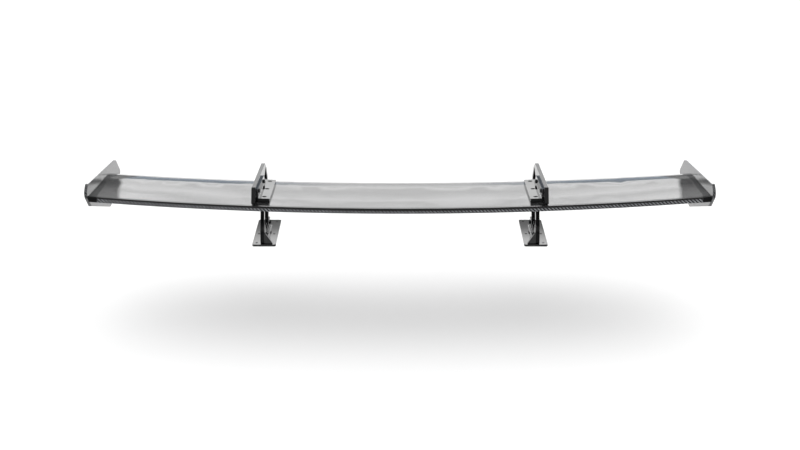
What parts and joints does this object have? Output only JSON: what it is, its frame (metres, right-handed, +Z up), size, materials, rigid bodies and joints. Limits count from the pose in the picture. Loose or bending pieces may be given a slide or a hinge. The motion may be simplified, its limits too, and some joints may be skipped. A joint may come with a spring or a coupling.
{
  "type": "racing rear wing",
  "caption": "Bowed carbon rear wing with end plates, hung from swan-neck uprights on foot brackets, with an adjustable angle of attack.",
  "frame": {"origin": "on the mounting plane under the feet, at the centre of the rectangle of the outer foot holes", "axes": "+Z up, +Y forward the way the car drives, +X to the car's right, along the span"},
  "size_m": [1.398, 0.3624, 0.2071],
  "materials": {
    "carbon_skin": "twill carbon fibre cloth in resin under a polished clear coat",
    "carbon_strip": "twill carbon fibre strip under clear coat, weave plain to see",
    "carbon_plate": "twill carbon fibre plate under clear coat",
    "carbon_inside": "plain moulded carbon channel, uncoated",
    "gloss_black_plate": "aluminium plate with gloss black powder coat",
    "gloss_black_bracket": "bent and welded aluminium with gloss black powder coat",
    "black_cap": "plain black moulding",
    "bare_aluminium": "machined, uncoated",
    "black_fastener": "black oxide steel, lightly oiled"
  },
  "bodies": {
    "mount": {"left_foot_bracket": "gloss_black_bracket", "left_upright": "gloss_black_plate", "left_foot_bolts": "black_fastener", "left_pivot_bolt": "black_fastener", "right_foot_bracket": "gloss_black_bracket", "right_upright": "gloss_black_plate", "right_foot_bolts": "black_fastener", "right_pivot_bolt": "black_fastener"},
    "wing": {"front_spar": "carbon_inside", "left_bracket_inserts": "bare_aluminium", "left_bracket_screws": "black_fastener", "left_clamp_bolt": "black_fastener", "left_clamp_nut": "black_fastener", "left_end_plate": "carbon_plate", "left_end_plate_screws": "black_fastener", "left_tip_cap": "black_cap", "left_tip_rib": "bare_aluminium", "left_wing_bracket": "gloss_black_bracket", "rear_spar": "carbon_inside", "right_bracket_inserts": "bare_aluminium", "right_bracket_screws": "black_fastener", "right_clamp_bolt": "black_fastener", "right_clamp_nut": "black_fastener", "right_end_plate": "carbon_plate", "right_end_plate_screws": "black_fastener", "right_tip_cap": "black_cap", "right_tip_rib": "bare_aluminium", "right_wing_bracket": "gloss_black_bracket", "trailing_edge_strip": "carbon_strip", "wing_lower_skin": "carbon_skin", "wing_upper_skin": "carbon_skin"}
  },
  "joints": [
    {"name": "wing_pitch", "type": "hinge", "parent": "mount", "child": "wing", "pos_m": [0, -0.082, 0.1624], "axis": [1, 0, 0], "range_deg": [0, 6]}
  ]
}
